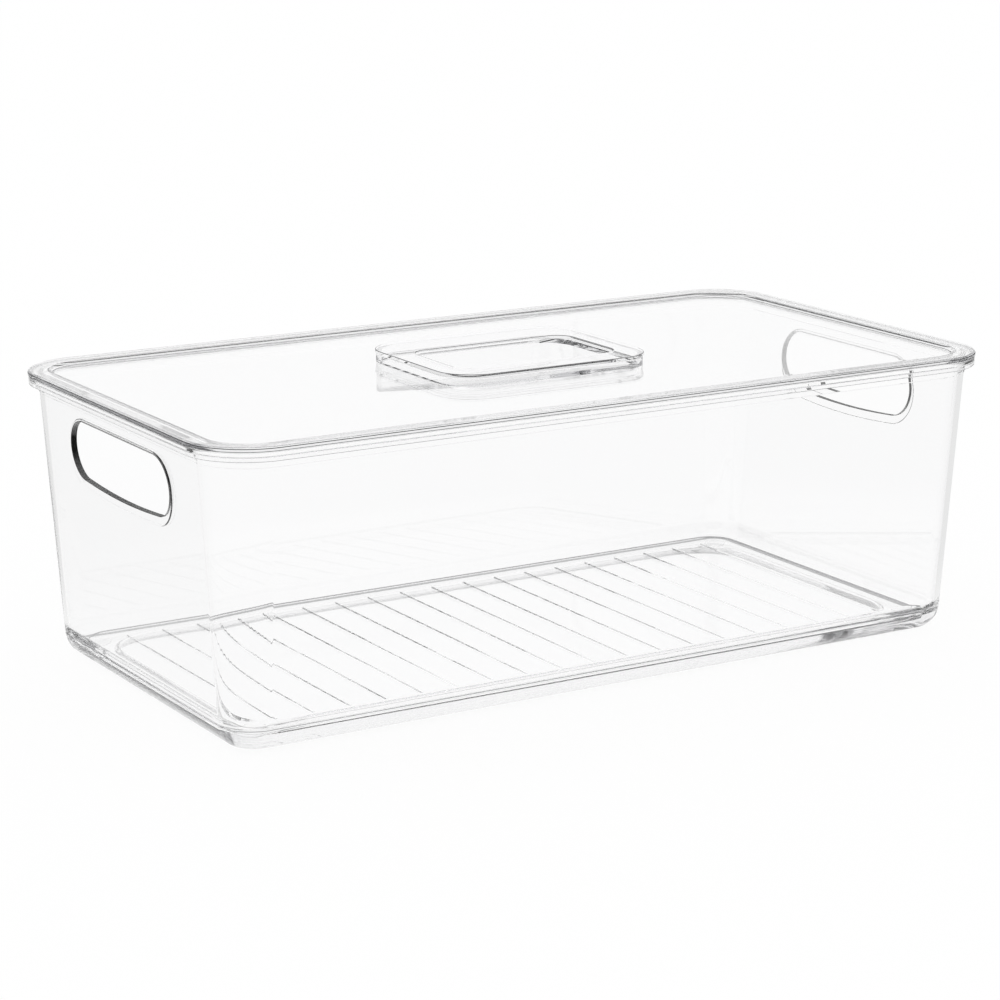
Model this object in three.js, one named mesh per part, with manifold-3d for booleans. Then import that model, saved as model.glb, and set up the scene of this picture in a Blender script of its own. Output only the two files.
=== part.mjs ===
// Clear storage bin with a lift-off lid: a moulded bin, a lid with a finger scoop, the bonded
// handle frame over the scoop, and four pads underneath.
// Millimetres, +Z up, +X along the length. The origin is on the ground under the middle of the bin.
import * as THREE from "three";
import { mergeVertices } from "three/addons/utils/BufferGeometryUtils.js";
import Module from "manifold-3d";

const wasm = await Module();
wasm.setup();

// Plan of the lid, which every other outline is offset from
const LID_LENGTH = 370;
const LID_WIDTH = 197;
const LID_CORNER_RADIUS = 27;

// Bin
const PAD_HEIGHT = 1;
const BIN_HEIGHT = 120.4;
const WALL = 2.2;
const WALL_DRAFT_DEGREES = 3.84;
const FLANGE_OVERHANG = 4.2;
const FLANGE_THICKNESS = 2;
const LIP_HEIGHT = 3.6;
const LIP_THICKNESS = 1.8;
const LIP_SETBACK = 0.3;
const LIP_EDGE_RADIUS = 0.4;
const MOUTH_EDGE_RADIUS = 0.7;
const COLLAR_HEIGHT = 4.5;
const COLLAR_STEP_HEIGHT = 0.4;
const BOTTOM_RADIUS = 10;
const FLOOR_RADIUS = 7;
const FLOOR_THICKNESS = 2.2;
const FLOOR_STEP_DEPTH = 0.4;
const FLOOR_STEP_RUN = 0.3;
const UNDER_RECESS_DEPTH = 4.6;
const UNDER_RECESS_INSET = 15;
const UNDER_RECESS_CORNER = 25;
const UNDER_RECESS_DRAFT = 1.2;

// Floor ribs, which run across the bin
const RIB_PITCH = 16.3;
const RIB_END_MARGIN = 14.6;
const RIB_SIDE_MARGIN = 10.6;
const RIB_WIDTH = 1.2;
const RIB_TOP_WIDTH = 0.6;
const RIB_HEIGHT = 0.5;

// Hand holds in the short ends
const HOLD_LENGTH = 92.5;
const HOLD_HEIGHT = 24.4;
const HOLD_BOW = 1.5;
const HOLD_DROP = 9.2;
const HOLD_BORDER_SIDE = 1.6;
const HOLD_BORDER_TOP = 1.2;
const HOLD_BORDER_BOTTOM = 4;
const HOLD_BORDER_RAISE = 0.4;

// Lid
const LID_SEAT_GAP = 0.3;
const LID_THICKNESS = 2;
const LID_EDGE_RADIUS = 1.2;
const LID_UNDER_CHAMFER = 0.3;
const RIM_WIDTH = 9;
const RIM_STEP_DEPTH = 1.6;
const RIM_STEP_RUN = 1.3;

// Handle frame over the finger scoop
const FRAME_LENGTH = 98;
const FRAME_WIDTH = 80;
const FRAME_CORNER_RADIUS = 16.5;
const FRAME_THICKNESS = 1.6;
const FRAME_RISE = 3.6;
const FRAME_EDGE_RADIUS = 0.4;
const FRAME_END_BAR = 10.6;
const FRAME_FRONT_BAR = 13;
const FRAME_BACK_BAR = 22;
const FRAME_OPENING_RADIUS = 8;
const FRAME_SEAT_GAP = 0.3;
const FRAME_OVERHANG = 0.4;

// Finger scoop: its floor falls from the front to a flat stretch at the back
const SCOOP_WALL = 2.2;
const SCOOP_DEPTH = 13.4;
const SCOOP_FRONT_DEPTH = 0.2;
const SCOOP_FLAT = 14;
const SCOOP_BACK_RADIUS = 5;

// Pads
const PAD_DIAMETER = 10;
const PAD_GROUND_DIAMETER = 9;
const PAD_EDGE_MARGIN = 0.7;

// Tightest corner in any plan
const LEAST_CORNER_RADIUS = 2;

// Mesh fineness
const CORNER_STEPS = 8;
const ARC_STEPS = 5;
const PAD_SIDES = 24;

// Heights above the ground
const binBottom = PAD_HEIGHT;
const floorUnderside = binBottom + UNDER_RECESS_DEPTH;
const floorTop = floorUnderside + FLOOR_THICKNESS;
const footTop = floorTop + FLOOR_STEP_DEPTH;
const flangeTop = binBottom + BIN_HEIGHT;
const flangeUnderside = flangeTop - FLANGE_THICKNESS;
const lipBottom = flangeTop - LIP_HEIGHT;
const lidUnderside = flangeTop + LID_SEAT_GAP;
const lidTop = lidUnderside + LID_THICKNESS;
const panelTop = lidTop - RIM_STEP_DEPTH;
const panelUnderside = panelTop - LID_THICKNESS;
const frameTop = lidTop + FRAME_RISE;
const frameUnderside = frameTop - FRAME_THICKNESS;
const upstandTop = frameUnderside - FRAME_SEAT_GAP;

// The outer wall leans out towards the flange
const draft = THREE.MathUtils.degToRad(WALL_DRAFT_DEGREES);
const wallInset = (z) => FLANGE_OVERHANG + (flangeTop - z) * Math.tan(draft);
const innerWallInset = (z) => wallInset(z) + WALL / Math.cos(draft);

// Corner points of a rounded rectangle, anticlockwise from above.
function roundedRectangle(length, width, radius) {
  const points = [];
  const corners = [[1, 1], [-1, 1], [-1, -1], [1, -1]];
  corners.forEach(([sideX, sideY], quarter) => {
    const centre = new THREE.Vector2(sideX * (length / 2 - radius), sideY * (width / 2 - radius));
    for (let step = 0; step <= CORNER_STEPS; step += 1) {
      const angle = (quarter + step / CORNER_STEPS) * Math.PI / 2;
      points.push(new THREE.Vector2(Math.cos(angle), Math.sin(angle)).multiplyScalar(radius).add(centre));
    }
  });
  return points;
}

// The lid's outline moved inwards, with corners that stay concentric while they have a radius left.
function insetOutline(inset) {
  const radius = Math.max(LID_CORNER_RADIUS - inset, LEAST_CORNER_RADIUS);
  return roundedRectangle(LID_LENGTH - 2 * inset, LID_WIDTH - 2 * inset, radius);
}

const insetSection = ([inset, z]) => ({ outline: insetOutline(inset), z });

// Closed solid through a row of outlines, with the first and the last one capped.
function loft(sections) {
  const count = sections[0].outline.length;
  const positions = [];
  sections.forEach(({ outline, z }) => outline.forEach((point) => positions.push(point.x, point.y, z)));
  const firstCentre = sections.length * count;
  const lastCentre = firstCentre + 1;
  const lastRing = (sections.length - 1) * count;
  positions.push(0, 0, sections[0].z, 0, 0, sections[sections.length - 1].z);
  const triangles = [];
  for (let corner = 0; corner < count; corner += 1) {
    const next = (corner + 1) % count;
    triangles.push(firstCentre, next, corner);
    triangles.push(lastCentre, lastRing + corner, lastRing + next);
    for (let ring = 0; ring < lastRing; ring += count) {
      triangles.push(ring + corner, ring + next, ring + count + next);
      triangles.push(ring + corner, ring + count + next, ring + count + corner);
    }
  }
  const geometry = new THREE.BufferGeometry();
  geometry.setAttribute("position", new THREE.Float32BufferAttribute(positions, 3));
  geometry.setIndex(triangles);
  return geometry;
}

// Geometry to solid and back, for joins and cuts
const WELD_DISTANCE = 1e-4;
function solid(geometry) {
  const bare = geometry.clone();
  bare.deleteAttribute("normal");
  bare.deleteAttribute("uv");
  const merged = mergeVertices(bare, WELD_DISTANCE);
  return new wasm.Manifold(new wasm.Mesh({
    numProp: 3,
    vertProperties: new Float32Array(merged.getAttribute("position").array),
    triVerts: new Uint32Array(merged.getIndex().array),
  }));
}

function geometryOf(manifold) {
  const mesh = manifold.getMesh();
  const geometry = new THREE.BufferGeometry();
  geometry.setAttribute("position", new THREE.BufferAttribute(mesh.vertProperties, 3));
  geometry.setIndex(new THREE.BufferAttribute(mesh.triVerts, 1));
  geometry.computeVertexNormals();
  return geometry;
}

// Points of an arc in the wall's section, as [inset, z] pairs.
function sectionArc(centreInset, centreZ, radius, fromAngle, toAngle) {
  return Array.from({ length: ARC_STEPS + 1 }, (_, step) => {
    const angle = fromAngle + (toAngle - fromAngle) * step / ARC_STEPS;
    return [centreInset - radius * Math.sin(angle), centreZ - radius * Math.cos(angle)];
  });
}

// A round between a level face and a drafted wall starts this far in from the wall's foot.
const roundReach = (radius) => radius * (1 - Math.sin(draft)) / Math.cos(draft);
const WALL_TANGENT = Math.PI / 2 - draft;

// The rounded foot of the inner wall ends in a small step down to the flat floor.
const footInset = innerWallInset(footTop) + roundReach(FLOOR_RADIUS);
const floorInset = footInset + FLOOR_STEP_RUN;

function binShell() {
  const recess = (grow) => roundedRectangle(
    LID_LENGTH - 2 * (wallInset(binBottom) + UNDER_RECESS_INSET - grow),
    LID_WIDTH - 2 * (wallInset(binBottom) + UNDER_RECESS_INSET - grow),
    UNDER_RECESS_CORNER + grow,
  );
  const underside = [
    { outline: recess(0), z: floorUnderside },
    { outline: recess(UNDER_RECESS_DRAFT), z: binBottom },
  ];
  const collarInset = wallInset(flangeUnderside);
  const collarBottom = flangeUnderside - COLLAR_HEIGHT;
  const lipOuter = LIP_SETBACK;
  const lipInner = LIP_SETBACK + LIP_THICKNESS;
  const outside = [
    ...sectionArc(wallInset(binBottom) + roundReach(BOTTOM_RADIUS), binBottom + BOTTOM_RADIUS,
      BOTTOM_RADIUS, 0, WALL_TANGENT),
    [wallInset(collarBottom - COLLAR_STEP_HEIGHT), collarBottom - COLLAR_STEP_HEIGHT],
    [collarInset, collarBottom],
    [collarInset, flangeUnderside],
    [lipInner, flangeUnderside],
    [lipInner, lipBottom],
    [lipOuter + LIP_EDGE_RADIUS, lipBottom],
    [lipOuter, lipBottom + LIP_EDGE_RADIUS],
    [lipOuter, flangeTop - LIP_EDGE_RADIUS],
    [lipOuter + LIP_EDGE_RADIUS, flangeTop],
  ];
  const inside = [
    [innerWallInset(flangeTop) - MOUTH_EDGE_RADIUS, flangeTop],
    [innerWallInset(flangeTop - MOUTH_EDGE_RADIUS), flangeTop - MOUTH_EDGE_RADIUS],
    ...sectionArc(footInset, footTop + FLOOR_RADIUS, FLOOR_RADIUS, WALL_TANGENT, 0),
    [floorInset, floorTop],
  ];
  return solid(loft([...underside, ...outside.map(insetSection), ...inside.map(insetSection)]));
}

// Low ribs across the floor, evenly spaced from the middle out to the step at the end walls.
function floorRibs() {
  const ribLength = LID_WIDTH - 2 * (floorInset + RIB_SIDE_MARGIN);
  const reach = LID_LENGTH / 2 - floorInset - RIB_END_MARGIN;
  const ribsEachSide = Math.floor(reach / RIB_PITCH);
  const root = FLOOR_THICKNESS / 2;
  const profile = new THREE.Shape([
    new THREE.Vector2(-RIB_WIDTH / 2, -root),
    new THREE.Vector2(RIB_WIDTH / 2, -root),
    new THREE.Vector2(RIB_WIDTH / 2, 0),
    new THREE.Vector2(RIB_TOP_WIDTH / 2, RIB_HEIGHT),
    new THREE.Vector2(-RIB_TOP_WIDTH / 2, RIB_HEIGHT),
    new THREE.Vector2(-RIB_WIDTH / 2, 0),
  ]);
  const ribs = [];
  for (let index = -ribsEachSide; index <= ribsEachSide; index += 1) {
    const rib = new THREE.ExtrudeGeometry(profile, { depth: ribLength, bevelEnabled: false });
    rib.rotateX(Math.PI / 2);
    rib.translate(index * RIB_PITCH, ribLength / 2, floorTop);
    ribs.push(solid(rib));
  }
  return ribs;
}

// An oblong with round ends and a slightly bowed lower edge, around the hand hold's centre.
function handHoldShape(side, top, bottom) {
  const radius = (HOLD_HEIGHT + top + bottom) / 2;
  const middle = (top - bottom) / 2;
  const endCentre = HOLD_LENGTH / 2 + side - radius;
  const shape = new THREE.Shape();
  shape.moveTo(-endCentre, middle - radius);
  shape.quadraticCurveTo(0, middle - radius - 2 * HOLD_BOW, endCentre, middle - radius);
  shape.absarc(endCentre, middle, radius, -Math.PI / 2, Math.PI / 2, false);
  shape.lineTo(-endCentre, middle + radius);
  shape.absarc(-endCentre, middle, radius, Math.PI / 2, 3 * Math.PI / 2, false);
  return shape;
}

// A shape drawn on an end wall, seen from outside, and given a depth from raise above its face inwards.
function onEndWall(shape, end, raise, depth) {
  const centreZ = flangeUnderside - HOLD_DROP - HOLD_HEIGHT / 2;
  const block = new THREE.ExtrudeGeometry(shape, { depth, bevelEnabled: false, curveSegments: CORNER_STEPS });
  block.translate(0, 0, raise - depth);
  block.rotateX(Math.PI / 2 + draft);
  block.rotateZ(end * Math.PI / 2);
  block.translate(end * (LID_LENGTH / 2 - wallInset(centreZ)), 0, centreZ);
  return solid(block);
}

function binBody() {
  let body = binShell();
  floorRibs().forEach((rib) => {
    body = body.add(rib);
  });
  [-1, 1].forEach((end) => {
    const border = handHoldShape(HOLD_BORDER_SIDE, HOLD_BORDER_TOP, HOLD_BORDER_BOTTOM);
    const hole = handHoldShape(0, 0, 0);
    body = body.add(onEndWall(border, end, HOLD_BORDER_RAISE, HOLD_BORDER_RAISE + WALL / 2));
    body = body.subtract(onEndWall(hole, end, 2 * WALL, 5 * WALL));
  });
  return geometryOf(body);
}

// Upright prism with a rounded rectangular plan.
function roundedPrism(length, width, radius, low, high) {
  const outline = roundedRectangle(length, width, radius);
  return solid(loft([{ outline, z: low }, { outline, z: high }]));
}

// The scoop seen along the bin: its floor falls to the back, where a round meets the back wall.
function scoopProfile(frontY, backY, lift) {
  const low = lidTop - SCOOP_DEPTH + lift;
  const roundY = backY - SCOOP_BACK_RADIUS;
  const profile = new THREE.Shape();
  profile.moveTo(frontY, frameTop);
  profile.lineTo(frontY, lidTop - SCOOP_FRONT_DEPTH + lift);
  profile.lineTo(backY - SCOOP_FLAT, low);
  profile.lineTo(roundY, low);
  profile.absarc(roundY, low + SCOOP_BACK_RADIUS, SCOOP_BACK_RADIUS, -Math.PI / 2, 0, false);
  profile.lineTo(backY, frameTop);
  return profile;
}

function alongLength(profile, length) {
  const block = new THREE.ExtrudeGeometry(profile, {
    depth: length,
    bevelEnabled: false,
    curveSegments: ARC_STEPS,
  });
  block.translate(0, 0, -length / 2);
  block.rotateX(Math.PI / 2);
  block.rotateZ(Math.PI / 2);
  return solid(block);
}

const scoopLength = FRAME_LENGTH - 2 * (FRAME_OVERHANG + SCOOP_WALL);
const scoopWidth = FRAME_WIDTH - 2 * (FRAME_OVERHANG + SCOOP_WALL);
const scoopRadius = Math.max(FRAME_CORNER_RADIUS - FRAME_OVERHANG - SCOOP_WALL, LEAST_CORNER_RADIUS);

// The scoop grown by a wall: 0 gives its hollow and SCOOP_WALL its outside.
function scoopBlock(grow, high) {
  const low = panelUnderside - SCOOP_DEPTH - LID_THICKNESS;
  const prism = roundedPrism(scoopLength + 2 * grow, scoopWidth + 2 * grow, scoopRadius + grow, low, high);
  const profile = scoopProfile(-scoopWidth / 2 - grow, scoopWidth / 2 + grow, -grow);
  return prism.intersect(alongLength(profile, scoopLength + 4 * SCOOP_WALL));
}

function lidPanel() {
  const underStep = RIM_WIDTH - RIM_STEP_DEPTH / 2;
  const sections = [
    [underStep + RIM_STEP_RUN, panelUnderside],
    [underStep, lidUnderside],
    [LID_UNDER_CHAMFER, lidUnderside],
    [0, lidUnderside + LID_UNDER_CHAMFER],
    ...sectionArc(LID_EDGE_RADIUS, lidTop - LID_EDGE_RADIUS, LID_EDGE_RADIUS, Math.PI / 2, Math.PI),
    [RIM_WIDTH, lidTop],
    [RIM_WIDTH + RIM_STEP_RUN, panelTop],
  ];
  const plate = solid(loft(sections.map(insetSection)));
  const scoopOutside = scoopBlock(SCOOP_WALL, upstandTop);
  const scoopHollow = scoopBlock(0, frameTop);
  return geometryOf(plate.add(scoopOutside).subtract(scoopHollow));
}

function handleFrame() {
  const openingLength = FRAME_LENGTH - 2 * FRAME_END_BAR;
  const openingWidth = FRAME_WIDTH - FRAME_FRONT_BAR - FRAME_BACK_BAR;
  const openingShift = (FRAME_FRONT_BAR - FRAME_BACK_BAR) / 2;
  const frame = new THREE.Shape(roundedRectangle(FRAME_LENGTH, FRAME_WIDTH, FRAME_CORNER_RADIUS));
  const opening = roundedRectangle(openingLength, openingWidth, FRAME_OPENING_RADIUS)
    .map((point) => point.add(new THREE.Vector2(0, openingShift)));
  frame.holes.push(new THREE.Path(opening));
  const plate = new THREE.ExtrudeGeometry(frame, {
    depth: FRAME_THICKNESS - 2 * FRAME_EDGE_RADIUS,
    bevelThickness: FRAME_EDGE_RADIUS,
    bevelSize: FRAME_EDGE_RADIUS,
    bevelOffset: -FRAME_EDGE_RADIUS,
    bevelSegments: 2,
  });
  plate.translate(0, 0, frameUnderside + FRAME_EDGE_RADIUS);
  return geometryOf(solid(plate));
}

// Thin round pad, a little narrower where it meets the ground.
function cornerPad() {
  const pad = new THREE.CylinderGeometry(PAD_DIAMETER / 2, PAD_GROUND_DIAMETER / 2, PAD_HEIGHT, PAD_SIDES);
  pad.rotateX(Math.PI / 2);
  pad.translate(0, 0, PAD_HEIGHT / 2);
  return geometryOf(solid(pad));
}

// Clear plastic finishes
const clearPlastic = (color, roughness) => new THREE.MeshStandardMaterial({
  color,
  roughness,
  metalness: 0,
  transparent: true,
  opacity: 0.35,
});
const BIN_FINISH = clearPlastic(0xeef1f2, 0.05);
const LID_FINISH = clearPlastic(0xf1f3f4, 0.05);
const FRAME_FINISH = clearPlastic(0xf3f5f6, 0.04);
const PAD_FINISH = clearPlastic(0xe6e9ea, 0.35);

const storageBin = new THREE.Group();

function place(name, geometry, material, x = 0, y = 0) {
  const mesh = new THREE.Mesh(geometry, material);
  mesh.name = name;
  mesh.position.set(x, y, 0);
  storageBin.add(mesh);
}

place("bin_body", binBody(), BIN_FINISH);
place("lid_panel", lidPanel(), LID_FINISH);
place("handle_frame", handleFrame(), FRAME_FINISH);

// The pads sit in the corners of the flat ring around the recessed underside.
const padInset = wallInset(binBottom) + roundReach(BOTTOM_RADIUS) + PAD_EDGE_MARGIN + PAD_DIAMETER / 2;
[["front", -1], ["back", 1]].forEach(([row, sideY]) => {
  [["left", -1], ["right", 1]].forEach(([end, sideX]) => {
    const x = sideX * (LID_LENGTH / 2 - padInset);
    const y = sideY * (LID_WIDTH / 2 - padInset);
    place(`pad_${row}_${end}`, cornerPad(), PAD_FINISH, x, y);
  });
});

export default storageBin;
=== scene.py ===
import math

import bmesh
import bpy
from mathutils import Matrix, Vector


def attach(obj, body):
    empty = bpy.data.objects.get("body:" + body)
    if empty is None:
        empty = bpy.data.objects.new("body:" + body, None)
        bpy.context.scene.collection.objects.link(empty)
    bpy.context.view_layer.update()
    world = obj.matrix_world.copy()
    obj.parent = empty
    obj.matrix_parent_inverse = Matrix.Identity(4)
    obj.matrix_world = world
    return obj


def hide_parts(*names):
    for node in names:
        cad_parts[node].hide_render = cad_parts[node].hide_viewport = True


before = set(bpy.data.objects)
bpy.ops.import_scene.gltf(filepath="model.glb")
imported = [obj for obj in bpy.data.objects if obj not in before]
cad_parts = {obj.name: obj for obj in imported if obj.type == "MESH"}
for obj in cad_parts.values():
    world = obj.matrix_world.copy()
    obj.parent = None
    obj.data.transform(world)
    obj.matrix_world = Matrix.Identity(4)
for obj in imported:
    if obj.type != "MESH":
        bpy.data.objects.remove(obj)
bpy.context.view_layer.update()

# Lengths below are in millimetres, and each finished mesh is scaled to metres once.
MM = 0.001

# Lid outline, which every corner of the bin and the lid is concentric with
LID_LENGTH = 370
LID_WIDTH = 197
LID_CORNER = 27
CORNER_X = LID_LENGTH / 2 - LID_CORNER
CORNER_Y = LID_WIDTH / 2 - LID_CORNER
CORNER_STEPS = 20

# Steps of the smaller rounds
LARGE_STEPS = 12
MIDDLE_STEPS = 4
SMALL_STEPS = 3

# Points closer than these are the same point, or lie at the same height
SAME_POINT = 0.001
NEAR_POINT = 0.0005
SAME_HEIGHT = 0.01

# Faces that meet at a steeper angle than this form a square edge.
SQUARE_EDGE = math.radians(60)

# Heights above the ground
UNDERSIDE = 1.0
RECESS_ROOF = 5.6
FLOOR_TOP = 7.8
FOOT_TOP = 8.2
FLANGE_TOP = 121.4
FLANGE_UNDER = 119.4
LIP_BOTTOM = 117.8
COLLAR_BOTTOM = 114.9
COLLAR_STEP = 0.4
LID_UNDER = 121.7
LID_TOP = 123.7
PANEL_TOP = 122.1
PANEL_UNDER = 120.1
UPSTAND_TOP = 125.4
FRAME_UNDER = 125.7
FRAME_TOP = 127.3

# Walls
DRAFT = math.radians(3.84)
WALL = 2.2
FLANGE_OVERHANG = 4.2
BOTTOM_ROUND = 10
FLOOR_ROUND = 7
FLAT_INSET = 24

# Flange lip and collar
MOUTH_ROUND = 0.7
LIP_INSET = 0.3
LIP_ROUND = 0.5
LIP_BACK_INSET = 2.1
LIP_BACK_ROUND = 0.3
COLLAR_ROUND = 0.2


def wall_inset(z):
    return FLANGE_OVERHANG + (FLANGE_TOP - z) * math.tan(DRAFT)


def inner_inset(z):
    return wall_inset(z) + WALL / math.cos(DRAFT)


def round_point(bm, point, radius, steps):
    """Rounds one corner of a wire to the given radius."""
    arms = [(edge.other_vert(point).co - point.co).normalized() for edge in point.link_edges]
    half_angle = arms[0].angle(arms[1]) / 2
    bmesh.ops.bevel(
        bm, geom=[point], offset=radius / math.tan(half_angle), offset_type="OFFSET",
        affect="VERTICES", segments=steps, profile=0.5, material=-1, clamp_overlap=False,
    )


def section_wire(bm, corners):
    """A wall section at a corner of the plan, from (inset, height, radius, steps) corners."""
    points = [bm.verts.new((LID_LENGTH / 2 - inset, CORNER_Y, z)) for inset, z, _, _ in corners]
    for first, second in zip(points, points[1:]):
        bm.edges.new((first, second))
    for point, (_, _, radius, steps) in zip(points, corners):
        if radius:
            round_point(bm, point, radius, steps)


def sweep_around(bm):
    """Turns the section round one corner, runs it along half of both sides, then mirrors it twice."""
    start = bm.edges[:]
    turned = bmesh.ops.spin(
        bm, geom=bm.verts[:] + start, cent=(CORNER_X, CORNER_Y, 0), axis=(0, 0, 1),
        angle=math.pi / 2, steps=CORNER_STEPS, use_duplicate=False,
    )
    end = [item for item in turned["geom_last"] if isinstance(item, bmesh.types.BMEdge)]
    for edges, along in ((start, (0, -CORNER_Y, 0)), (end, (-CORNER_X, 0, 0))):
        drawn = bmesh.ops.extrude_edge_only(bm, edges=edges)
        moved = [item for item in drawn["geom"] if isinstance(item, bmesh.types.BMVert)]
        bmesh.ops.translate(bm, verts=moved, vec=along)
    for axis in ("X", "Y"):
        bmesh.ops.mirror(
            bm, geom=bm.verts[:] + bm.edges[:] + bm.faces[:], merge_dist=SAME_POINT, axis=axis,
        )
        bmesh.ops.remove_doubles(bm, verts=bm.verts, dist=SAME_POINT)
    for side in (0, 1):
        seam = [
            edge for edge in bm.edges if all(abs(v.co[side]) < SAME_POINT for v in edge.verts)
        ]
        bmesh.ops.dissolve_edges(bm, edges=seam, use_verts=True)


def rim_edges(bm, z):
    """Open edges that lie at one height."""
    return [
        edge for edge in bm.edges
        if edge.is_boundary and all(abs(v.co.z - z) < SAME_HEIGHT for v in edge.verts)
    ]


def rounded_plan(bm, length, width, radius, z, steps=CORNER_STEPS, shift=0.0):
    """A level face with a rounded rectangular outline."""
    others = set(bm.faces)
    made = bmesh.ops.create_grid(bm, x_segments=1, y_segments=1, size=0.5)
    bmesh.ops.scale(bm, vec=(length, width, 1), verts=made["verts"])
    bmesh.ops.translate(bm, vec=(0, shift, z), verts=made["verts"])
    bmesh.ops.bevel(
        bm, geom=made["verts"], offset=radius, offset_type="OFFSET", affect="VERTICES",
        segments=steps, profile=0.5, material=-1, clamp_overlap=False,
    )
    return next(face for face in bm.faces if face not in others)


def raise_face(bm, face, height, lengthen=0.0):
    """Extrudes a level face upwards, with its outline grown evenly on the way."""
    drawn = bmesh.ops.extrude_face_region(bm, geom=[face])
    moved = [item for item in drawn["geom"] if isinstance(item, bmesh.types.BMVert)]
    bmesh.ops.translate(bm, vec=(0, 0, height), verts=moved)
    if lengthen:
        low = Vector([min(v.co[axis] for v in moved) for axis in range(3)])
        high = Vector([max(v.co[axis] for v in moved) for axis in range(3)])
        middle = (low + high) / 2
        grow = [1 + 2 * lengthen / (high[axis] - low[axis]) for axis in (0, 1)]
        bmesh.ops.scale(
            bm, vec=(grow[0], grow[1], 1), verts=moved, space=Matrix.Translation(-middle),
        )
    return next(item for item in drawn["geom"] if isinstance(item, bmesh.types.BMFace))


def mesh_object(bm, name):
    """A new object from a closed shape still in millimetres."""
    bmesh.ops.recalc_face_normals(bm, faces=bm.faces)
    mesh = bpy.data.meshes.new(name)
    bm.to_mesh(mesh)
    bm.free()
    made = bpy.data.objects.new(name, mesh)
    bpy.context.scene.collection.objects.link(made)
    return made


def combine(base, tool, operation):
    """Joins a shape to another one or cuts it out, and drops the tool."""
    step = base.modifiers.new("combine", "BOOLEAN")
    step.operation = operation
    step.solver = "EXACT"
    step.object = tool
    seen = base.evaluated_get(bpy.context.evaluated_depsgraph_get())
    mesh = bpy.data.meshes.new_from_object(seen)
    base.modifiers.clear()
    base.data = mesh
    bpy.data.objects.remove(tool)


def soften(bm, chosen, radius, steps=SMALL_STEPS):
    """Rounds the chosen edges."""
    edges = [edge for edge in bm.edges if edge.is_manifold and chosen(edge)]
    bmesh.ops.bevel(
        bm, geom=edges, offset=radius, offset_type="OFFSET", affect="EDGES", segments=steps,
        profile=0.5, material=-1, clamp_overlap=True,
    )


SHARP = math.radians(32)
CREASE = math.radians(4)
FLAT_AREA = 1000
SHADING_WEIGHT = 100


def is_square(edge):
    return edge.calc_face_angle(0) > SQUARE_EDGE


def is_crease(edge):
    """True where two faces meet at a sharp angle, or two large flat ones at a slight angle."""
    if not edge.is_manifold:
        return False
    large = all(face.calc_area() > FLAT_AREA for face in edge.link_faces)
    return edge.calc_face_angle(0) > (CREASE if large else SHARP)


def finish_piece(piece, body, nodes, slot, *materials):
    """Scales the mesh to metres, shades it and hangs it on its body in place of its node."""
    bm = bmesh.new()
    bm.from_mesh(piece.data)
    bmesh.ops.remove_doubles(bm, verts=bm.verts, dist=NEAR_POINT)
    bmesh.ops.dissolve_degenerate(bm, edges=bm.edges, dist=NEAR_POINT)
    for face in bm.faces:
        face.smooth = True
    for edge in bm.edges:
        edge.smooth = not is_crease(edge)
    bmesh.ops.scale(bm, vec=(MM, MM, MM), verts=bm.verts)
    piece.data.materials.clear()
    for material in materials:
        piece.data.materials.append(material)
    bm.to_mesh(piece.data)
    bm.free()
    shading = piece.modifiers.new("even shading", "WEIGHTED_NORMAL")
    shading.keep_sharp = True
    shading.weight = SHADING_WEIGHT
    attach(piece, body)
    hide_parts(*nodes)


# Bin body


def bin_shell():
    bm = bmesh.new()
    collar = wall_inset(FLANGE_UNDER)
    wall_end = COLLAR_BOTTOM - COLLAR_STEP
    section_wire(bm, [
        (FLAT_INSET, FOOT_TOP, 0, 0),
        (inner_inset(FOOT_TOP), FOOT_TOP, FLOOR_ROUND, LARGE_STEPS),
        (inner_inset(FLANGE_TOP), FLANGE_TOP, MOUTH_ROUND, MIDDLE_STEPS),
        (LIP_INSET, FLANGE_TOP, LIP_ROUND, MIDDLE_STEPS),
        (LIP_INSET, LIP_BOTTOM, LIP_ROUND, MIDDLE_STEPS),
        (LIP_BACK_INSET, LIP_BOTTOM, LIP_BACK_ROUND, SMALL_STEPS),
        (LIP_BACK_INSET, FLANGE_UNDER, LIP_BACK_ROUND, SMALL_STEPS),
        (collar, FLANGE_UNDER, LIP_BACK_ROUND, SMALL_STEPS),
        (collar, COLLAR_BOTTOM, COLLAR_ROUND, SMALL_STEPS),
        (wall_inset(wall_end), wall_end, COLLAR_ROUND, SMALL_STEPS),
        (wall_inset(UNDERSIDE), UNDERSIDE, BOTTOM_ROUND, LARGE_STEPS),
        (FLAT_INSET, UNDERSIDE, 0, 0),
    ])
    sweep_around(bm)
    bmesh.ops.contextual_create(bm, geom=rim_edges(bm, FOOT_TOP))
    bmesh.ops.contextual_create(bm, geom=rim_edges(bm, UNDERSIDE))
    return mesh_object(bm, "clear_bin_body")


FLOOR_INSET = 21
FLOOR_CORNER = 12.5
FLOOR_STEP_RUN = 0.3


def floor_panel():
    """The slightly sunk flat of the floor, with a small sloping step around it."""
    bm = bmesh.new()
    depth = FOOT_TOP - FLOOR_TOP
    flat = rounded_plan(
        bm, LID_LENGTH - 2 * FLOOR_INSET, LID_WIDTH - 2 * FLOOR_INSET, FLOOR_CORNER, FLOOR_TOP,
    )
    raise_face(bm, flat, 2 * depth, 2 * FLOOR_STEP_RUN)
    return mesh_object(bm, "floor_panel")


STANDING_RING = 15
RECESS_INSET = wall_inset(UNDERSIDE) + STANDING_RING
RECESS_CORNER = 25
RECESS_DRAFT = 1.2
RECESS_EDGE = 0.5
RECESS_RIM_ANGLE = math.radians(45)
RECESS_RIM_TOP = RECESS_ROOF + 0.1
RECESS_RIM_REACH = LID_LENGTH / 2 - FLAT_INSET - 1


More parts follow.
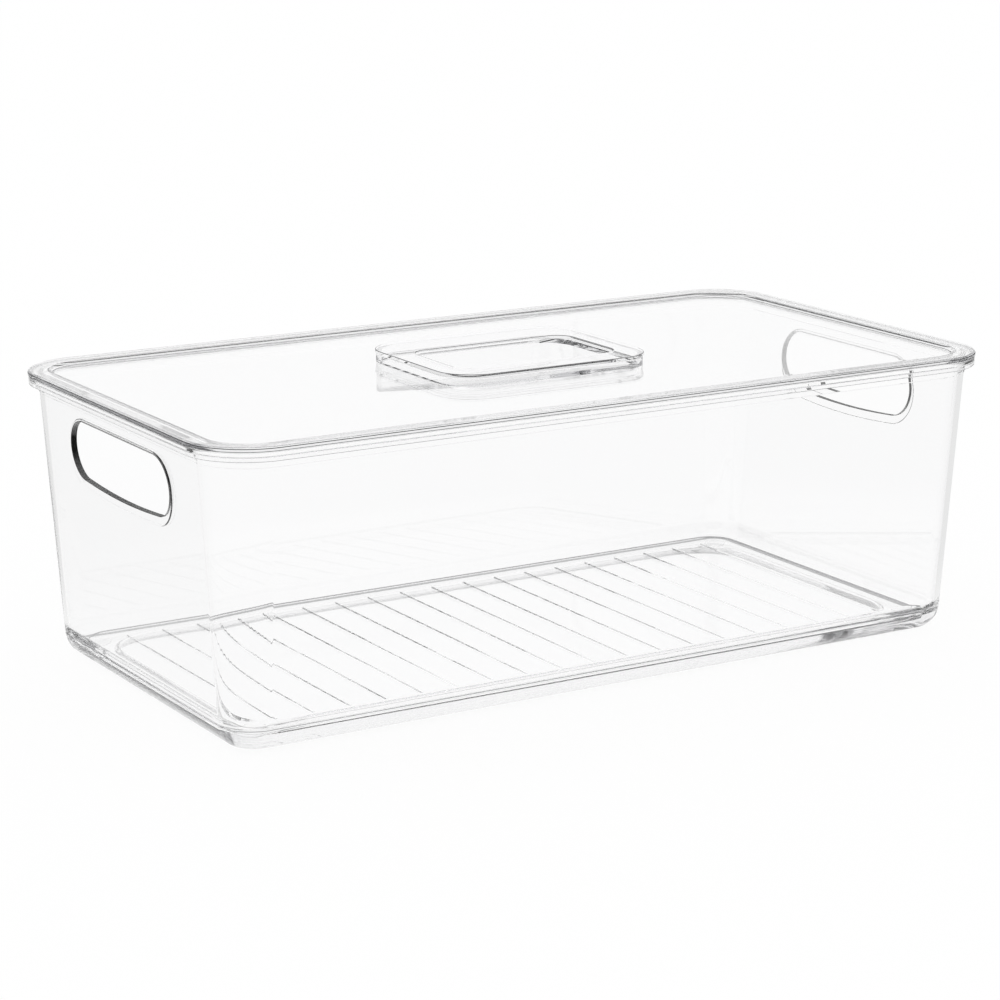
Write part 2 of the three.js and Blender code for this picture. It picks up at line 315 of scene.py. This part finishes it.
def underside_recess():
    """The shallow hollow under the floor, a little wider where it opens."""
    bm = bmesh.new()
    depth = RECESS_ROOF - UNDERSIDE
    roof = rounded_plan(
        bm, LID_LENGTH - 2 * RECESS_INSET, LID_WIDTH - 2 * RECESS_INSET, RECESS_CORNER, RECESS_ROOF,
    )
    raise_face(bm, roof, -2 * depth, 2 * RECESS_DRAFT)
    return mesh_object(bm, "recess")


def recess_rim(edge):
    """The edges where the recess opens and where it meets its roof."""
    if edge.calc_face_angle(0) < RECESS_RIM_ANGLE:
        return False
    return all(v.co.z < RECESS_RIM_TOP and abs(v.co.x) < RECESS_RIM_REACH for v in edge.verts)


RIB_PITCH = 16.3
RIBS_EACH_SIDE = 9
RIB_LENGTH = 134.1
RIB_WIDTH = 1.2
RIB_TOP_SHARE = 0.5
RIB_HEIGHT = 0.5
RIB_ROOT = 1.1


def floor_ribs():
    bm = bmesh.new()
    for index in range(-RIBS_EACH_SIDE, RIBS_EACH_SIDE + 1):
        made = bmesh.ops.create_cube(bm, size=1)
        bmesh.ops.scale(bm, vec=(RIB_WIDTH, RIB_LENGTH, RIB_HEIGHT + RIB_ROOT), verts=made["verts"])
        top = [v for v in made["verts"] if v.co.z > 0]
        bmesh.ops.scale(bm, vec=(RIB_TOP_SHARE, 1, 1), verts=top)
        middle = FLOOR_TOP + (RIB_HEIGHT - RIB_ROOT) / 2
        bmesh.ops.translate(bm, vec=(index * RIB_PITCH, 0, middle), verts=made["verts"])
    return mesh_object(bm, "ribs")


HOLD_LENGTH = 92.5
HOLD_HEIGHT = 24.4
HOLD_BOW = 1.5
HOLD_CENTRE_Z = 98.0
HOLD_STEPS = 16
HOLD_BOW_CUTS = 15
HOLD_END_FLAT = 0.01

# Raised border of a hand hold, and how far the hole's cut reaches past the wall
BORDER_SIDE = 1.6
BORDER_TOP = 1.2
BORDER_BOTTOM = 4
BORDER_PROUD = 0.4
HOLE_OUTSIDE = 4
HOLE_INSIDE = 8

# Space around a hand hold in which its edges lie
HOLD_FROM_X = 165
HOLD_REACH_Y = 50
HOLD_MIDDLE_Z = HOLD_CENTRE_Z - 1.5
HOLD_REACH_Z = 16.5


def hand_hold(end, grow_side, grow_top, grow_bottom, outside, inside, name):
    """An oblong prism through an end wall, square to the wall's face."""
    bm = bmesh.new()
    height = HOLD_HEIGHT + grow_top + grow_bottom
    length = HOLD_LENGTH + 2 * grow_side
    middle = (grow_top - grow_bottom) / 2
    face = rounded_plan(bm, length, height, height / 2 - HOLD_END_FLAT, 0, HOLD_STEPS, middle)
    lowest = middle - height / 2
    lower = [
        edge for edge in face.edges if all(abs(v.co.y - lowest) < SAME_HEIGHT for v in edge.verts)
    ]
    reach = length / 2 - height / 2
    bmesh.ops.subdivide_edges(bm, edges=lower, cuts=HOLD_BOW_CUTS)
    for point in bm.verts:
        if abs(point.co.y - lowest) < SAME_HEIGHT and abs(point.co.x) < reach:
            point.co.y -= HOLD_BOW * (1 - (point.co.x / reach) ** 2)
    bmesh.ops.translate(bm, vec=(0, 0, -inside), verts=bm.verts)
    raise_face(bm, bm.faces[:][0], inside + outside)
    lean = Matrix.Rotation(math.pi / 2 + DRAFT, 4, "X")
    turn = Matrix.Rotation(end * math.pi / 2, 4, "Z")
    wall_x = LID_LENGTH / 2 - wall_inset(HOLD_CENTRE_Z)
    spot = Matrix.Translation((end * wall_x, 0, HOLD_CENTRE_Z))
    bmesh.ops.transform(bm, matrix=spot @ turn @ lean, verts=bm.verts)
    return mesh_object(bm, name)


def hold_rim(edge):
    """The edges around a hand hold."""
    if not is_square(edge):
        return False
    return all(
        abs(v.co.x) > HOLD_FROM_X and abs(v.co.y) < HOLD_REACH_Y
        and abs(v.co.z - HOLD_MIDDLE_Z) < HOLD_REACH_Z
        for v in edge.verts
    )


# The slot of the hand holds' cut rims, which carry painted shade
HOLD_SHADE_SLOT = 1
HOLD_EDGE_ROUND = 0.6
HOLD_EDGE_AREA = 60


def mark_hold_edge_shade(bm):
    """Gives the cut faces of the hand holds their painted shade."""
    half_length = HOLD_LENGTH / 2 + HOLD_EDGE_ROUND
    half_height = HOLD_HEIGHT / 2 + HOLD_EDGE_ROUND
    for face in bm.faces:
        middle = face.calc_center_median()
        across = abs(middle.y)
        up = middle.z - HOLD_CENTRE_Z
        low = HOLD_BOW if up < 0 else 0
        inside = across < half_length and -half_height - low < up < half_height
        if abs(middle.x) > HOLD_FROM_X and inside and face.calc_area() < HOLD_EDGE_AREA:
            face.material_index = HOLD_SHADE_SLOT


# The slot of the bin's edges that carry painted shade, drawn as dark lines
EDGE_SHADE_SLOT = 2

# How far the faces of the painted shade lines look up, or down where below 0, and where they lie
FLOOR_STEP_TURN = (0.3, 0.9)
FOOT_TURN = (-0.995, -0.94)
LIP_TURN = -0.3
LIP_EDGE_REACH = 0.5
RIB_END_ROOM = 1


def on_edge_shade(face):
    """True on the floor's step, on the turn under the walls and on the lower edge of the flange lip,
    which get painted shade.
    """
    middle = face.calc_center_median()
    across_ribs = abs(middle.x) < RIBS_EACH_SIDE * RIB_PITCH + RIB_WIDTH
    among_ribs = across_ribs and abs(middle.y) < RIB_LENGTH / 2 + RIB_END_ROOM
    turn = face.normal.z
    in_step = FLOOR_TOP < middle.z < FOOT_TOP
    step = in_step and FLOOR_STEP_TURN[0] < turn < FLOOR_STEP_TURN[1] and not among_ribs
    past_end = abs(middle.x) > LID_LENGTH / 2 - RECESS_INSET
    past_side = abs(middle.y) > LID_WIDTH / 2 - RECESS_INSET
    on_ring = middle.z < RECESS_ROOF and (past_end or past_side)
    foot = on_ring and FOOT_TURN[0] < turn < FOOT_TURN[1]
    lip = abs(middle.z - LIP_BOTTOM) < LIP_EDGE_REACH and turn < LIP_TURN
    return step or foot or lip


def mark_edge_shade(bm):
    """Gives these edges painted shade, which draws them as dark lines."""
    bm.normal_update()
    for face in bm.faces:
        if on_edge_shade(face):
            face.material_index = EDGE_SHADE_SLOT


def bin_body():
    body = bin_shell()
    combine(body, floor_panel(), "DIFFERENCE")
    combine(body, underside_recess(), "DIFFERENCE")
    combine(body, floor_ribs(), "UNION")
    for end in (-1, 1):
        border = hand_hold(
            end, BORDER_SIDE, BORDER_TOP, BORDER_BOTTOM, BORDER_PROUD, WALL / 2, "border",
        )
        combine(body, border, "UNION")
        combine(body, hand_hold(end, 0, 0, 0, HOLE_OUTSIDE, HOLE_INSIDE, "hole"), "DIFFERENCE")
    bm = bmesh.new()
    bm.from_mesh(body.data)
    soften(bm, hold_rim, HOLD_EDGE_ROUND, MIDDLE_STEPS)
    soften(bm, recess_rim, RECESS_EDGE)
    mark_hold_edge_shade(bm)
    mark_edge_shade(bm)
    bm.to_mesh(body.data)
    bm.free()
    return body


# Lid with its finger scoop

RIM_WIDTH = 9
RIM_STEP_RUN = 1.3
UNDER_STEP = 8.2
STEP_ROUND = 0.4
LID_LOWER_ROUND = 0.3
LID_UPPER_ROUND = 1.2
LID_UPPER_STEPS = 6


def lid_plate():
    bm = bmesh.new()
    section_wire(bm, [
        (FLAT_INSET, PANEL_UNDER, 0, 0),
        (UNDER_STEP + RIM_STEP_RUN, PANEL_UNDER, STEP_ROUND, SMALL_STEPS),
        (UNDER_STEP, LID_UNDER, STEP_ROUND, SMALL_STEPS),
        (0, LID_UNDER, LID_LOWER_ROUND, SMALL_STEPS),
        (0, LID_TOP, LID_UPPER_ROUND, LID_UPPER_STEPS),
        (RIM_WIDTH, LID_TOP, STEP_ROUND, SMALL_STEPS),
        (RIM_WIDTH + RIM_STEP_RUN, PANEL_TOP, STEP_ROUND, SMALL_STEPS),
        (FLAT_INSET, PANEL_TOP, 0, 0),
    ])
    sweep_around(bm)
    bmesh.ops.contextual_create(bm, geom=rim_edges(bm, PANEL_UNDER))
    bmesh.ops.contextual_create(bm, geom=rim_edges(bm, PANEL_TOP))
    return mesh_object(bm, "clear_lid_panel")


SCOOP_LENGTH = 92.8
SCOOP_WIDTH = 74.8
SCOOP_CORNER = 13.9
SCOOP_WALL = 2.2
SCOOP_DEPTH = 13.4
SCOOP_FRONT_DEPTH = 0.2
SCOOP_FLAT = 14
SCOOP_ROUND = 5
SLOPE_ROUND = 12
SLOPE_STEPS = 8

# How far the scoop's prism and its sloping profile reach past each other
PRISM_BELOW = 6
SLOPE_SIDE = 4
SLOPE_FRONT = 2
SLOPE_ABOVE = 9
SLOPE_FRONT_RISE = 0.45


def scoop_block(grow, top, name):
    """The scoop's hollow, or its outside when grown by a wall."""
    bm = bmesh.new()
    low = LID_TOP - SCOOP_DEPTH - grow
    plan = rounded_plan(
        bm, SCOOP_LENGTH + 2 * grow, SCOOP_WIDTH + 2 * grow, SCOOP_CORNER + grow,
        low - PRISM_BELOW,
    )
    raise_face(bm, plan, top - low + PRISM_BELOW)
    prism = mesh_object(bm, name)
    bm = bmesh.new()
    front = -SCOOP_WIDTH / 2 - grow
    back = SCOOP_WIDTH / 2 + grow
    half = SCOOP_LENGTH / 2 + grow + SLOPE_SIDE
    profile = [
        (front - SLOPE_FRONT, LID_TOP + SLOPE_ABOVE),
        (front - SLOPE_FRONT, LID_TOP - SCOOP_FRONT_DEPTH - grow + SLOPE_FRONT_RISE),
        (back - SCOOP_FLAT, low),
        (back, low),
        (back, LID_TOP + SLOPE_ABOVE),
    ]
    points = [bm.verts.new((-half, y, z)) for y, z in profile]
    bm.faces.new(points)
    _, _, flat_start, flat_end, _ = points
    for point, radius in ((flat_end, SCOOP_ROUND), (flat_start, SLOPE_ROUND)):
        round_point(bm, point, radius, SLOPE_STEPS)
    drawn = bmesh.ops.extrude_face_region(bm, geom=bm.faces[:])
    moved = [item for item in drawn["geom"] if isinstance(item, bmesh.types.BMVert)]
    bmesh.ops.translate(bm, vec=(2 * half, 0, 0), verts=moved)
    combine(prism, mesh_object(bm, "slope"), "INTERSECT")
    return prism


UPSTAND_SLOT = 1
# The slot of the lid's edges that carry painted shade
LID_SHADE_SLOT = 2
UPRIGHT = 0.3

# How high above its plane each of the lid's painted shade lines lies, and how far its faces look up or
# down
LOWER_EDGE_RISE = 0.3
LOWER_EDGE_TURN = (-0.95, -0.1)
UPPER_EDGE_RISE = 0.5
UPPER_EDGE_TURN = (0.3, 0.5)
PANEL_STEP_RISE = 0.15
PANEL_STEP_TURN = (0.66, 0.97)


def on_scoop(face):
    """True on the upright walls of the scoop and its upstand."""
    middle = face.calc_center_median()
    across = abs(middle.x) < SCOOP_LENGTH / 2 + 2 * SCOOP_WALL
    along = abs(middle.y) < SCOOP_WIDTH / 2 + 2 * SCOOP_WALL
    return across and along and abs(face.normal.z) < UPRIGHT


def split_scoop(bm):
    """Parts the scoop's walls from its upstand at the height of the panel."""
    bm.normal_update()
    walls = [face for face in bm.faces if on_scoop(face)]
    rims = dict.fromkeys(item for face in walls for item in (*face.edges, *face.verts))
    bmesh.ops.bisect_plane(
        bm, geom=walls + list(rims), dist=NEAR_POINT,
        plane_co=(0, 0, PANEL_TOP), plane_no=(0, 0, 1),
    )


def on_upstand(face):
    return on_scoop(face) and face.calc_center_median().z > PANEL_TOP


def on_lid_shade(face):
    """True on thin strips of the lid's outer edges and where its step meets the panel, which get
    painted shade.
    """
    z = face.calc_center_median().z
    turn = face.normal.z
    at_lower_edge = LID_UNDER < z < LID_UNDER + LOWER_EDGE_RISE
    lower = at_lower_edge and LOWER_EDGE_TURN[0] < turn < LOWER_EDGE_TURN[1]
    at_upper_edge = z > LID_UNDER + UPPER_EDGE_RISE
    upper = at_upper_edge and UPPER_EDGE_TURN[0] < turn < UPPER_EDGE_TURN[1]
    at_step = PANEL_TOP < z < PANEL_TOP + PANEL_STEP_RISE
    step = at_step and PANEL_STEP_TURN[0] < turn < PANEL_STEP_TURN[1]
    return lower or upper or step


def mark_lid(bm):
    """Gives the upstand its own finish and the lid's edge lines their painted shade."""
    bm.normal_update()
    for face in bm.faces:
        if on_upstand(face):
            face.material_index = UPSTAND_SLOT
        elif on_lid_shade(face):
            face.material_index = LID_SHADE_SLOT


def lid_panel():
    lid = lid_plate()
    combine(lid, scoop_block(SCOOP_WALL, UPSTAND_TOP, "scoop_outside"), "UNION")
    combine(lid, scoop_block(0, FRAME_TOP, "scoop_hollow"), "DIFFERENCE")
    bm = bmesh.new()
    bm.from_mesh(lid.data)
    split_scoop(bm)
    mark_lid(bm)
    bm.to_mesh(lid.data)
    bm.free()
    return lid


# Handle frame

FRAME_LENGTH = 98
FRAME_WIDTH = 80
FRAME_CORNER = 16.5
OPENING_LENGTH = 76.8
OPENING_WIDTH = 45
OPENING_CORNER = 8
OPENING_SHIFT = -4.5
OPENING_OVERCUT = 2
FRAME_EDGE = 0.35
FRAME_STEPS = 16
# Slot and face tilt of the frame's rounded edges that carry painted shade
FRAME_SHADE_SLOT = 1
FRAME_SHADE_TURN = (0.2, 0.95)


def mark_frame_shade(bm):
    """Gives the rounded upper edges of the frame painted shade."""
    bm.normal_update()
    for face in bm.faces:
        if FRAME_SHADE_TURN[0] < face.normal.z < FRAME_SHADE_TURN[1]:
            face.material_index = FRAME_SHADE_SLOT


def handle_frame():
    bm = bmesh.new()
    plate = rounded_plan(bm, FRAME_LENGTH, FRAME_WIDTH, FRAME_CORNER, FRAME_UNDER, FRAME_STEPS)
    raise_face(bm, plate, FRAME_TOP - FRAME_UNDER)
    ring = mesh_object(bm, "clear_handle_frame")
    bm = bmesh.new()
    opening = rounded_plan(
        bm, OPENING_LENGTH, OPENING_WIDTH, OPENING_CORNER, FRAME_UNDER - OPENING_OVERCUT,
        FRAME_STEPS, OPENING_SHIFT,
    )
    raise_face(bm, opening, FRAME_TOP - FRAME_UNDER + 2 * OPENING_OVERCUT)
    combine(ring, mesh_object(bm, "opening"), "DIFFERENCE")
    bm = bmesh.new()
    bm.from_mesh(ring.data)
    soften(bm, is_square, FRAME_EDGE, MIDDLE_STEPS)
    mark_frame_shade(bm)
    bm.to_mesh(ring.data)
    bm.free()
    return ring


# Pads under the corners

PAD_SPOTS = {
    "pad_front_left": (-1, -1), "pad_front_right": (1, -1),
    "pad_back_left": (-1, 1), "pad_back_right": (1, 1),
}
PAD_HEIGHT = 0.95
PAD_FOOT_RADIUS = 4.6
PAD_RADIUS = 5
PAD_EDGE = 0.2
PAD_STEPS = 40
PAD_X = 157.67
PAD_Y = 71.17


def corner_pad(name, side_x, side_y):
    bm = bmesh.new()
    bmesh.ops.create_cone(
        bm, cap_ends=True, segments=PAD_STEPS, radius1=PAD_FOOT_RADIUS, radius2=PAD_RADIUS,
        depth=PAD_HEIGHT,
    )
    soften(bm, is_square, PAD_EDGE)
    bmesh.ops.translate(bm, vec=(side_x * PAD_X, side_y * PAD_Y, PAD_HEIGHT / 2), verts=bm.verts)
    return mesh_object(bm, "clear_" + name)


# Materials

PLASTIC_IOR = 1.52
PLASTIC_TINT = (0.33, 0.33, 0.36, 1)
BIN_TINT = (0.997, 0.997, 0.998, 1)
BIN_DENSITY = 0.8
LID_TINT = (0.99, 0.99, 0.992, 1)
LID_DENSITY = 2.5
FRAME_TINT = (0.992, 0.992, 0.994, 1)
FRAME_DENSITY = 2
# Painted shade on the thin edges of the lid and the frame: near black and mostly opaque
EDGE_SHADE_TINT = (0.06, 0.06, 0.065, 1)
EDGE_SHADE_CLEAR = 0.12
# Lighter painted shade on the bin's floor step, foot and lip: grey and half clear
FLOOR_EDGE_SHADE_TINT = (0.4, 0.4, 0.41, 1)
FLOOR_EDGE_SHADE_CLEAR = 0.5
THIN_IOR = 1.12

# Least and most roughness of each finish
CLEAR_HAZE = (0.0, 0.01)
PAD_HAZE = (0.02, 0.06)
HOLD_EDGE_HAZE = (0.04, 0.1)
LINE_HAZE = (0.05, 0.15)
HAZE_SCALE = 45
HAZE_DETAIL = 5
HAZE_SPAN = (0.35, 0.75)

# Painted shade of a hand hold's rim, from its top, which faces down, past its ends to its bottom
HOLD_EDGE_SHADE_TONES = ((0, 0.5), (0.2, 0.2), (0.35, 0.015), (0.6, 0.015), (0.85, 0.1), (1, 0.16))


def new_material(name):
    material = bpy.data.materials.new(name)
    material.use_nodes = True
    return material, material.node_tree.nodes, material.node_tree.links


def clear_plastic(name, tint, density, roughness):
    """Clear plastic with a faint uneven haze."""
    material, nodes, links = new_material(name)
    shader = nodes["Principled BSDF"]
    shader.inputs["Base Color"].default_value = tint
    shader.inputs["Transmission Weight"].default_value = 1
    shader.inputs["IOR"].default_value = PLASTIC_IOR
    place = nodes.new("ShaderNodeTexCoord")
    haze = nodes.new("ShaderNodeTexNoise")
    haze.inputs["Scale"].default_value = HAZE_SCALE
    haze.inputs["Detail"].default_value = HAZE_DETAIL
    spread = nodes.new("ShaderNodeMapRange")
    spread.inputs["From Min"].default_value = HAZE_SPAN[0]
    spread.inputs["From Max"].default_value = HAZE_SPAN[1]
    spread.inputs["To Min"].default_value = roughness[0]
    spread.inputs["To Max"].default_value = roughness[1]
    links.new(place.outputs["Object"], haze.inputs["Vector"])
    links.new(haze.outputs["Fac"], spread.inputs["Value"])
    links.new(spread.outputs["Result"], shader.inputs["Roughness"])
    depth = nodes.new("ShaderNodeVolumeAbsorption")
    depth.inputs["Color"].default_value = PLASTIC_TINT
    depth.inputs["Density"].default_value = density
    links.new(depth.outputs["Volume"], nodes["Material Output"].inputs["Volume"])
    return material


def hold_edge_painted_shade():
    """The cut rim of a hand hold with painted shade: dark at its round ends, lighter along its top and
    bottom.
    """
    material = clear_plastic("hold_edge_painted_shade", BIN_TINT, BIN_DENSITY, HOLD_EDGE_HAZE)
    nodes, links = material.node_tree.nodes, material.node_tree.links
    shader = nodes["Principled BSDF"]
    shader.inputs["Specular IOR Level"].default_value = 0
    facing = nodes.new("ShaderNodeNewGeometry")
    parts = nodes.new("ShaderNodeSeparateXYZ")
    height = nodes.new("ShaderNodeMapRange")
    height.inputs["From Min"].default_value = -1
    painted_shade = nodes.new("ShaderNodeValToRGB")
    stops = painted_shade.color_ramp.elements
    while len(stops) < len(HOLD_EDGE_SHADE_TONES):
        stops.new(0.5)
    for stop, (place, level) in zip(stops, HOLD_EDGE_SHADE_TONES):
        stop.position = place
        stop.color = (level, level, level, 1)
    links.new(facing.outputs["Normal"], parts.inputs["Vector"])
    links.new(parts.outputs["Z"], height.inputs["Value"])
    links.new(height.outputs["Result"], painted_shade.inputs["Fac"])
    links.new(painted_shade.outputs["Color"], shader.inputs["Base Color"])
    links.new(painted_shade.outputs["Color"], shader.inputs["Transmission Weight"])
    return material


def painted_edge_shade(name, tint, density, clear):
    """Painted shade for thin edges: a grey, less clear finish, which draws them as dark lines."""
    material = clear_plastic(name, tint, density, LINE_HAZE)
    shader = material.node_tree.nodes["Principled BSDF"]
    shader.inputs["Transmission Weight"].default_value = clear
    shader.inputs["Specular IOR Level"].default_value = 0
    return material


def thin_plastic(name, tint, density):
    """Plastic that hardly bends the light, and so looks lighter than the rest."""
    material = clear_plastic(name, tint, density, CLEAR_HAZE)
    material.node_tree.nodes["Principled BSDF"].inputs["IOR"].default_value = THIN_IOR
    return material


BIN_PLASTIC = clear_plastic("clear_bin_plastic", BIN_TINT, BIN_DENSITY, CLEAR_HAZE)
LID_PLASTIC = clear_plastic("clear_lid_plastic", LID_TINT, LID_DENSITY, CLEAR_HAZE)
FRAME_PLASTIC = thin_plastic("clear_frame_plastic", FRAME_TINT, FRAME_DENSITY)
PAD_PLASTIC = clear_plastic("satin_pad_plastic", BIN_TINT, BIN_DENSITY, PAD_HAZE)
# Painted shade on the hand holds' rims, darkest at their ends
HOLD_EDGE_SHADE_PLASTIC = hold_edge_painted_shade()
# Painted shade drawn as dark lines on the lid's and the frame's edges
EDGE_SHADE_PLASTIC = painted_edge_shade("edge_painted_shade", EDGE_SHADE_TINT, LID_DENSITY, EDGE_SHADE_CLEAR)
# Lighter painted shade drawn as lines on the bin's floor step, foot and lip
FLOOR_SHADE_PLASTIC = painted_edge_shade(
    "floor_painted_shade", FLOOR_EDGE_SHADE_TINT, BIN_DENSITY, FLOOR_EDGE_SHADE_CLEAR,
)
UPSTAND_PLASTIC = thin_plastic("clear_upstand_plastic", LID_TINT, LID_DENSITY)

finish_piece(
    bin_body(), "bin", ["bin_body"], "clear_bin", BIN_PLASTIC, HOLD_EDGE_SHADE_PLASTIC, FLOOR_SHADE_PLASTIC,
)
finish_piece(
    lid_panel(), "lid", ["lid_panel"], "clear_lid", LID_PLASTIC, UPSTAND_PLASTIC, EDGE_SHADE_PLASTIC,
)
finish_piece(
    handle_frame(), "lid", ["handle_frame"], "clear_handle", FRAME_PLASTIC, EDGE_SHADE_PLASTIC,
)
for pad, (side_x, side_y) in PAD_SPOTS.items():
    finish_piece(corner_pad(pad, side_x, side_y), "bin", [pad], "clear_pad", PAD_PLASTIC)


# Stage

FLOOR_SIZE = 40
FLOOR_GAP = 0.0001
FLOOR_COLOUR = (0.97, 0.97, 0.97, 1)
FLOOR_GLOW = 0.955
DIM_SPAN = (0.12, 0.3)
DIM_LEVEL = 0.8
DARK_SIDE = (-0.335, -0.549, 0.766)
DARK_SIDE_EDGE = (0.78, 0.9)
DARK_SIDE_LEVEL = 0.03

SENSOR_WIDTH = 36
LENS = 107.82
FARTHEST = 100
CAMERA_SPOT = (-0.64492, -1.05642, 0.36759)
CAMERA_TILT = -0.242
CAMERA_TURN = -0.545
BOUNCES = 256


def math_step(nodes, operation, second=None):
    step = nodes.new("ShaderNodeMath")
    step.operation = operation
    if second is not None:
        step.inputs[1].default_value = second
    return step


def smooth_fade(nodes, span, level):
    """Falls smoothly from 1 to a level over a span."""
    fade = nodes.new("ShaderNodeMapRange")
    fade.interpolation_type = "SMOOTHSTEP"
    fade.inputs["From Min"].default_value = span[0]
    fade.inputs["From Max"].default_value = span[1]
    fade.inputs["To Min"].default_value = 1
    fade.inputs["To Max"].default_value = level
    return fade


def one_or(nodes, links, chosen, level):
    """1, or the level where it is chosen."""
    choose = nodes.new("ShaderNodeMix")
    choose.inputs["A"].default_value = 1
    links.new(chosen, choose.inputs["Factor"])
    links.new(level, choose.inputs["B"])
    return choose.outputs["Result"]


def seen_rays(nodes, links, camera=True):
    """1 for what the camera sees directly, in a reflection or through the plastic, and 0 for light."""
    path = nodes.new("ShaderNodeLightPath")
    kinds = ["Is Glossy Ray", "Is Transmission Ray"] + ["Is Camera Ray"] * camera
    total = path.outputs[kinds[0]]
    for kind in kinds[1:]:
        add = math_step(nodes, "ADD")
        add.use_clamp = True
        links.new(total, add.inputs[0])
        links.new(path.outputs[kind], add.inputs[1])
        total = add.outputs["Value"]
    direct = math_step(nodes, "LESS_THAN", 0.5)
    links.new(path.outputs["Diffuse Depth"], direct.inputs[0])
    seen = math_step(nodes, "MULTIPLY")
    links.new(total, seen.inputs[0])
    links.new(direct.outputs["Value"], seen.inputs[1])
    return seen.outputs["Value"]


def dim_when_mirrored(nodes, links):
    """The floor's glow, lower away from the object where the plastic mirrors it, to draw the edges."""
    path = nodes.new("ShaderNodeLightPath")
    mirrored = math_step(nodes, "GREATER_THAN", 0.5)
    place = nodes.new("ShaderNodeTexCoord")
    away = nodes.new("ShaderNodeVectorMath")
    away.operation = "LENGTH"
    fade = smooth_fade(nodes, DIM_SPAN, DIM_LEVEL)
    links.new(path.outputs["Glossy Depth"], mirrored.inputs[0])
    links.new(place.outputs["Object"], away.inputs[0])
    links.new(away.outputs["Value"], fade.inputs["Value"])
    return one_or(nodes, links, mirrored.outputs["Value"], fade.outputs["Result"])


def studio_floor():
    material, nodes, links = new_material("studio_floor")
    nodes.remove(nodes["Principled BSDF"])
    matte = nodes.new("ShaderNodeBsdfDiffuse")
    matte.inputs["Color"].default_value = FLOOR_COLOUR
    glow = nodes.new("ShaderNodeEmission")
    share = math_step(nodes, "MULTIPLY", FLOOR_GLOW)
    blend = nodes.new("ShaderNodeMixShader")
    links.new(dim_when_mirrored(nodes, links), glow.inputs["Strength"])
    links.new(seen_rays(nodes, links), share.inputs[0])
    links.new(share.outputs["Value"], blend.inputs["Fac"])
    links.new(matte.outputs["BSDF"], blend.inputs[1])
    links.new(glow.outputs["Emission"], blend.inputs[2])
    links.new(blend.outputs["Shader"], nodes["Material Output"].inputs["Surface"])
    bm = bmesh.new()
    bmesh.ops.create_grid(bm, x_segments=1, y_segments=1, size=FLOOR_SIZE / 2)
    bmesh.ops.translate(bm, vec=(0, 0, -FLOOR_GAP), verts=bm.verts)
    mesh = bpy.data.meshes.new("studio_floor")
    bm.to_mesh(mesh)
    bm.free()
    mesh.materials.append(material)
    floor = bpy.data.objects.new("studio_floor", mesh)
    bpy.context.scene.collection.objects.link(floor)


def studio_light():
    """A white room with a dark area high behind the photographer, which draws the plastic's edges."""
    world = bpy.data.worlds.new("studio")
    bpy.context.scene.world = world
    world.use_nodes = True
    nodes, links = world.node_tree.nodes, world.node_tree.links
    light = nodes["Background"]
    place = nodes.new("ShaderNodeTexCoord")
    facing = nodes.new("ShaderNodeVectorMath")
    facing.operation = "DOT_PRODUCT"
    facing.inputs[1].default_value = DARK_SIDE
    side = smooth_fade(nodes, DARK_SIDE_EDGE, DARK_SIDE_LEVEL)
    links.new(place.outputs["Generated"], facing.inputs[0])
    links.new(facing.outputs["Value"], side.inputs["Value"])
    level = one_or(nodes, links, seen_rays(nodes, links, False), side.outputs["Result"])
    links.new(level, light.inputs["Color"])
    light.inputs["Strength"].default_value = 1


def photo_camera():
    data = bpy.data.cameras.new("photo_camera")
    data.sensor_width = SENSOR_WIDTH
    data.lens = LENS
    data.clip_end = FARTHEST
    camera = bpy.data.objects.new("photo_camera", data)
    camera.location = CAMERA_SPOT
    camera.rotation_euler = (math.pi / 2 + CAMERA_TILT, 0, CAMERA_TURN)
    bpy.context.scene.collection.objects.link(camera)
    bpy.context.scene.camera = camera


studio_floor()
studio_light()
photo_camera()
bpy.context.scene.view_settings.view_transform = "Standard"

# Light goes on through many faces of the clear walls before it fades.
bounces = bpy.context.scene.cycles
bounces.max_bounces = BOUNCES
bounces.transmission_bounces = BOUNCES
bounces.glossy_bounces = BOUNCES
